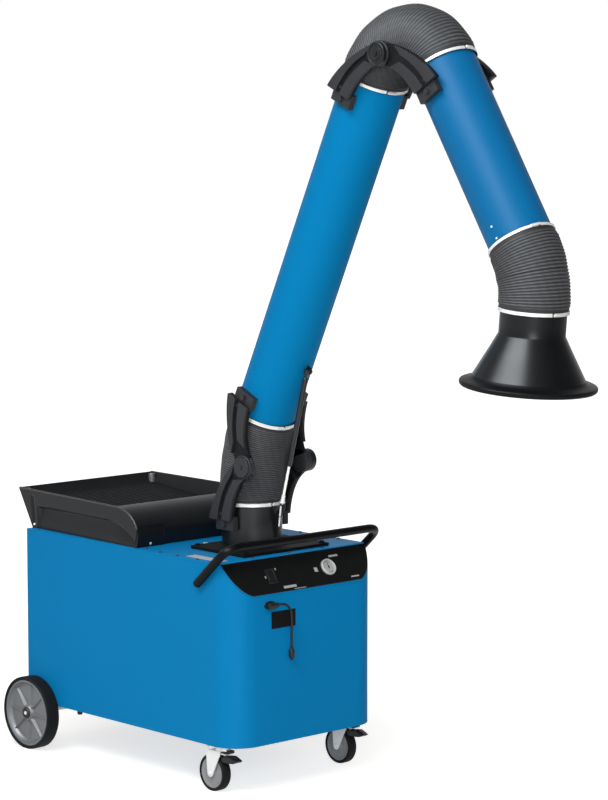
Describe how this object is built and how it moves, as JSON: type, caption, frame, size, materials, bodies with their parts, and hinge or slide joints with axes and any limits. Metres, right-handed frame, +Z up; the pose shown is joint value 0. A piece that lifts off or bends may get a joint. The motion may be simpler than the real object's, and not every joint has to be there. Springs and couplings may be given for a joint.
{
  "type": "mobile fume extractor with jointed extraction arm",
  "caption": "Wheeled sheet-steel cabinet with a console, push handle and tool tray, carrying a jointed duct arm on a swivel that ends in a flared hood and draws fumes into the cabinet.",
  "frame": {"origin": "middle of the bounding box at floor level, under the wheels", "axes": "+Z up, +X towards the console and the hood, +Y to the left seen from behind"},
  "size_m": [2.3558, 0.767, 2.5551],
  "materials": {
    "blue_paint": "satin powder coat",
    "blue_tube": "satin powder coat",
    "black_plastic": "satin",
    "black_cast": "matt cast, painted",
    "black_paint": "satin",
    "tyre": "matt",
    "wheel_grey": "satin",
    "zinc": "zinc plated",
    "motor_grey": "matt",
    "hose_rubber": "matt ribbed",
    "cord_rubber": "satin",
    "dial_white": "gloss",
    "strut_rod": "polished",
    "filter_media": "pleated"
  },
  "bodies": {
    "chassis": {"cabinet_wrap": "blue_paint", "top_panel": "blue_paint", "floor_pan": "blue_paint", "rear_panel": "blue_paint", "control_panel": "black_plastic", "gauge_body": "dial_white", "push_handle": "black_paint", "tool_tray": "black_plastic", "cord_gland": "black_plastic", "power_cord": "cord_rubber", "power_plug": "black_plastic", "filter_cartridge": "filter_media", "fan_housing": "zinc", "fan_motor": "motor_grey", "rear_axle": "zinc", "caster_plate_left": "zinc", "caster_plate_right": "zinc", "arm_base_plate": "black_paint"},
    "fan_rotor": {"fan_impeller": "zinc"},
    "gauge_pointer": {"gauge_needle": "black_plastic"},
    "rocker": {"rocker_switch": "black_plastic"},
    "rear_wheel_left": {"rear_tyre_left": "tyre", "rear_rim_left": "wheel_grey"},
    "rear_wheel_right": {"rear_tyre_right": "tyre", "rear_rim_right": "wheel_grey"},
    "caster_left": {"caster_fork_left": "zinc"},
    "caster_right": {"caster_fork_right": "zinc"},
    "caster_roller_left": {"caster_wheel_left": "wheel_grey"},
    "caster_roller_right": {"caster_wheel_right": "wheel_grey"},
    "caster_pedal_left": {"caster_brake_left": "black_plastic"},
    "caster_pedal_right": {"caster_brake_right": "black_plastic"},
    "turret": {"swivel_collar": "black_paint", "base_knuckle_left": "black_cast", "base_knuckle_right": "black_cast", "shoulder_knob_left": "black_plastic", "shoulder_knob_right": "black_plastic", "lower_hose": "hose_rubber", "collar_clamp": "zinc"},
    "lower_arm": {"lower_tube": "blue_tube", "lower_tube_extension": "blue_tube", "shoulder_knuckle_left": "black_cast", "shoulder_knuckle_right": "black_cast", "elbow_knuckle_left": "black_cast", "elbow_knuckle_right": "black_cast", "elbow_knob_left": "black_plastic", "elbow_knob_right": "black_plastic", "lower_tube_clamp": "zinc", "elbow_lower_clamp": "zinc", "elbow_hose": "hose_rubber"},
    "upper_arm": {"upper_tube": "blue_tube", "forearm_knuckle_left": "black_cast", "forearm_knuckle_right": "black_cast", "elbow_upper_clamp": "zinc", "nose_upper_clamp": "zinc", "nose_hose": "hose_rubber"},
    "nose_gimbal": {"gimbal_ring": "zinc"},
    "hood": {"hood": "black_plastic", "nose_lower_clamp": "zinc"},
    "gas_strut": {"strut_cylinder": "black_paint"},
    "gas_strut_rod": {"strut_rod": "strut_rod"}
  },
  "joints": [
    {"name": "arm_swivel", "type": "hinge", "parent": "chassis", "child": "turret", "pos_m": [-0.28585, 0, 0.8], "axis": [0, 0, 1], "range_deg": [-180, 180]},
    {"name": "shoulder", "type": "hinge", "parent": "turret", "child": "lower_arm", "pos_m": [-0.17985, 0, 1.053], "axis": [0, 1, 0], "range_deg": [-15, 25], "deforming": ["lower_hose"]},
    {"name": "elbow", "type": "hinge", "parent": "lower_arm", "child": "upper_arm", "pos_m": [0.45691, 0, 2.40008], "axis": [0, 1, 0], "range_deg": [-60, 15], "deforming": ["elbow_hose"]},
    {"name": "nose_pitch", "type": "hinge", "parent": "upper_arm", "child": "nose_gimbal", "pos_m": [0.99578, 0, 1.74191], "axis": [0, -1, 0], "range_deg": [-30, 30], "deforming": ["nose_hose"]},
    {"name": "nose_roll", "type": "hinge", "parent": "nose_gimbal", "child": "hood", "pos_m": [0.99578, 0, 1.74191], "axis": [0.9965, 0, -0.0837], "range_deg": [-30, 30]},
    {"name": "strut_pivot", "type": "hinge", "parent": "lower_arm", "child": "gas_strut", "pos_m": [-0.01601, 0, 1.37153], "axis": [0, 1, 0], "range_deg": [-6, 4]},
    {"name": "strut_stroke", "type": "slide", "parent": "gas_strut", "child": "gas_strut_rod", "axis": [-0.2614, 0, -0.9652], "range_m": [-0.04, 0.025]},
    {"name": "rear_roll_left", "type": "hinge", "parent": "chassis", "child": "rear_wheel_left", "pos_m": [-1.04585, 0.358, 0.12544], "axis": [0, 1, 0], "continuous": true},
    {"name": "rear_roll_right", "type": "hinge", "parent": "chassis", "child": "rear_wheel_right", "pos_m": [-1.04585, -0.358, 0.12544], "axis": [0, 1, 0], "continuous": true},
    {"name": "caster_swivel_left", "type": "hinge", "parent": "chassis", "child": "caster_left", "pos_m": [-0.11185, 0.284, 0.14], "axis": [0, 0, 1], "continuous": true},
    {"name": "caster_swivel_right", "type": "hinge", "parent": "chassis", "child": "caster_right", "pos_m": [-0.11185, -0.284, 0.14], "axis": [0, 0, 1], "continuous": true},
    {"name": "caster_roll_left", "type": "hinge", "parent": "caster_left", "child": "caster_roller_left", "pos_m": [-0.15185, 0.284, 0.06081], "axis": [0, 1, 0], "continuous": true},
    {"name": "caster_roll_right", "type": "hinge", "parent": "caster_right", "child": "caster_roller_right", "pos_m": [-0.15185, -0.284, 0.06081], "axis": [0, 1, 0], "continuous": true},
    {"name": "caster_brake_press_left", "type": "hinge", "parent": "caster_left", "child": "caster_pedal_left", "pos_m": [-0.09785, 0.284, 0.114], "axis": [0, 1, 0], "range_deg": [0, 8]},
    {"name": "caster_brake_press_right", "type": "hinge", "parent": "caster_right", "child": "caster_pedal_right", "pos_m": [-0.09785, -0.284, 0.114], "axis": [0, 1, 0], "range_deg": [0, 8]},
    {"name": "fan_spin", "type": "hinge", "parent": "chassis", "child": "fan_rotor", "pos_m": [-0.99785, 0, 0.455], "axis": [1, 0, 0], "continuous": true},
    {"name": "gauge_sweep", "type": "hinge", "parent": "chassis", "child": "gauge_pointer", "pos_m": [-0.03959, 0.118, 0.7092], "axis": [0.8247, 0, 0.5655], "range_deg": [0, 90], "stiffness_Nm_per_rad": 0.00002},
    {"name": "switch_rock", "type": "hinge", "parent": "chassis", "child": "rocker", "pos_m": [-0.0388, -0.138, 0.70805], "axis": [0, 1, 0], "range_deg": [-7, 7]}
  ],
  "couplings": [
    {"joint": "strut_pivot", "follows": "shoulder", "ratio": -0.2227},
    {"joint": "strut_stroke", "follows": "shoulder", "m_per_rad": -0.084}
  ]
}
